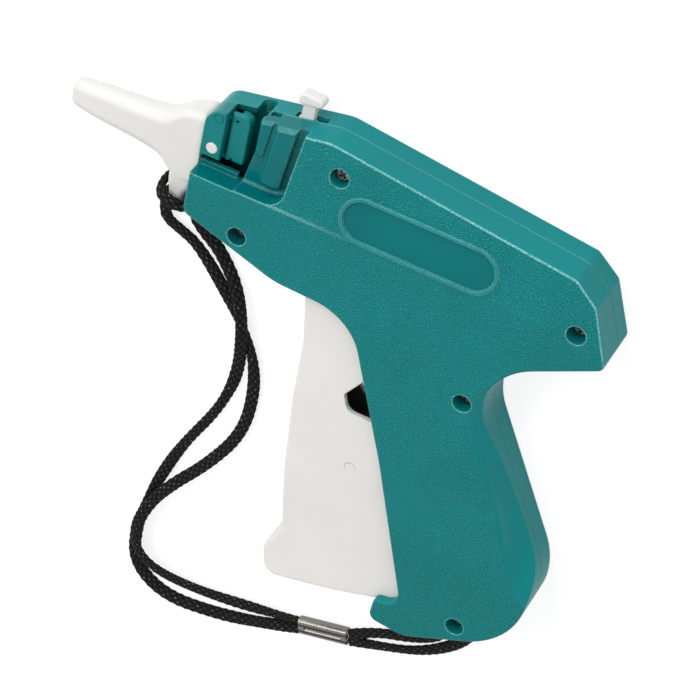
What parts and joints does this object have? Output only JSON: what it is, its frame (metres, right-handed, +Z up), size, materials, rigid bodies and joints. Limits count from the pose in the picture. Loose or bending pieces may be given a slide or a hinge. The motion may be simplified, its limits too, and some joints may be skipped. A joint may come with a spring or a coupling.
{
  "type": "garment tag attacher",
  "caption": "Hand-held garment tag attacher lying on its side: teal pistol-shaped casing, pale squeeze trigger, flat needle cap, top release knob and a black wrist strap.",
  "frame": {"origin": "point on the right cheek, which the tool lies on, under the needle axis at the middle of the clip slot, 17 mm behind the front face of the casing", "axes": "+X back along the needle axis, +Y to the top of the tool, +Z up through its thickness, out of the left cheek"},
  "size_m": [0.194, 0.233, 0.0214],
  "materials": {
    "teal_plastic": "moulded, grained cheeks and smooth bands",
    "white_plastic": "moulded, satin",
    "black_plastic": "moulded, satin",
    "acetal": "moulded, natural",
    "screw_steel": "plain steel",
    "bright_steel": "bright drawn",
    "nickel_sleeve": "nickel plated",
    "black_braid": "flat woven braid"
  },
  "bodies": {
    "casing": {"left_shell": "teal_plastic", "right_shell": "teal_plastic", "shell_screws": "screw_steel", "nose_block": "teal_plastic", "nose_pin": "white_plastic", "lock_lever_pin": "bright_steel", "needle": "bright_steel", "needle_hub": "black_plastic", "trigger_pin": "bright_steel", "drive_lever_pin": "bright_steel", "rod_guide": "acetal", "return_spring": "bright_steel", "feed_axle": "bright_steel", "feed_pawl_pin": "bright_steel", "release_spring": "bright_steel", "strap_long": "black_braid", "strap_end_loop": "black_braid", "ferrule": "nickel_sleeve"},
    "cap": {"needle_cap": "white_plastic", "strap_hitch": "black_braid"},
    "lock": {"lock_lever": "teal_plastic"},
    "trigger": {"trigger": "white_plastic", "trigger_drive_pin": "bright_steel"},
    "drive": {"drive_lever": "black_plastic"},
    "pusher": {"pusher_slide": "acetal", "pusher_rod": "bright_steel"},
    "wheel": {"feed_wheel": "acetal"},
    "pawl": {"feed_pawl": "black_plastic"},
    "knob": {"release_knob": "white_plastic"}
  },
  "joints": [
    {"name": "trigger_squeeze", "type": "hinge", "parent": "casing", "child": "trigger", "pos_m": [0.09, -0.1324, 0.0085], "axis": [0, 0, -1], "range_deg": [0, 16], "stiffness_Nm_per_rad": 0.6, "springref_deg": -28.65},
    {"name": "lever_swing", "type": "hinge", "parent": "casing", "child": "drive", "pos_m": [0.0767, -0.0572, 0.0085], "axis": [0, 0, 1], "range_deg": [0, 40.4]},
    {"name": "pusher_travel", "type": "slide", "parent": "casing", "child": "pusher", "axis": [-1, 0, 0], "range_m": [0, 0.0421], "deforming": ["return_spring"]},
    {"name": "pawl_swing", "type": "hinge", "parent": "casing", "child": "pawl", "pos_m": [0.0186, 0.0046, 0.0105], "axis": [0, 0, -1], "range_deg": [0, 6.5]},
    {"name": "feed_wheel_turn", "type": "hinge", "parent": "casing", "child": "wheel", "pos_m": [0.0084, 0.012, 0.0105], "axis": [0, 0, 1], "continuous": true},
    {"name": "lock_lever_lift", "type": "hinge", "parent": "casing", "child": "lock", "pos_m": [-0.0083, 0.011, 0.0121], "axis": [0, -1, 0], "range_deg": [0, 85]},
    {"name": "release_knob_slide", "type": "slide", "parent": "casing", "child": "knob", "axis": [1, 0, 0], "range_m": [0, 0.004], "stiffness_N_per_m": 250, "springref_m": -0.004, "deforming": ["release_spring"]},
    {"name": "needle_cap_pull", "type": "slide", "parent": "casing", "child": "cap", "axis": [-1, 0, 0], "range_m": [0, 0.05]}
  ],
  "couplings": [
    {"joint": "lever_swing", "follows": "trigger_squeeze", "ratio": 2.52},
    {"joint": "pusher_travel", "follows": "trigger_squeeze", "m_per_rad": 0.1504},
    {"joint": "pawl_swing", "follows": "trigger_squeeze", "ratio": 0.4}
  ]
}
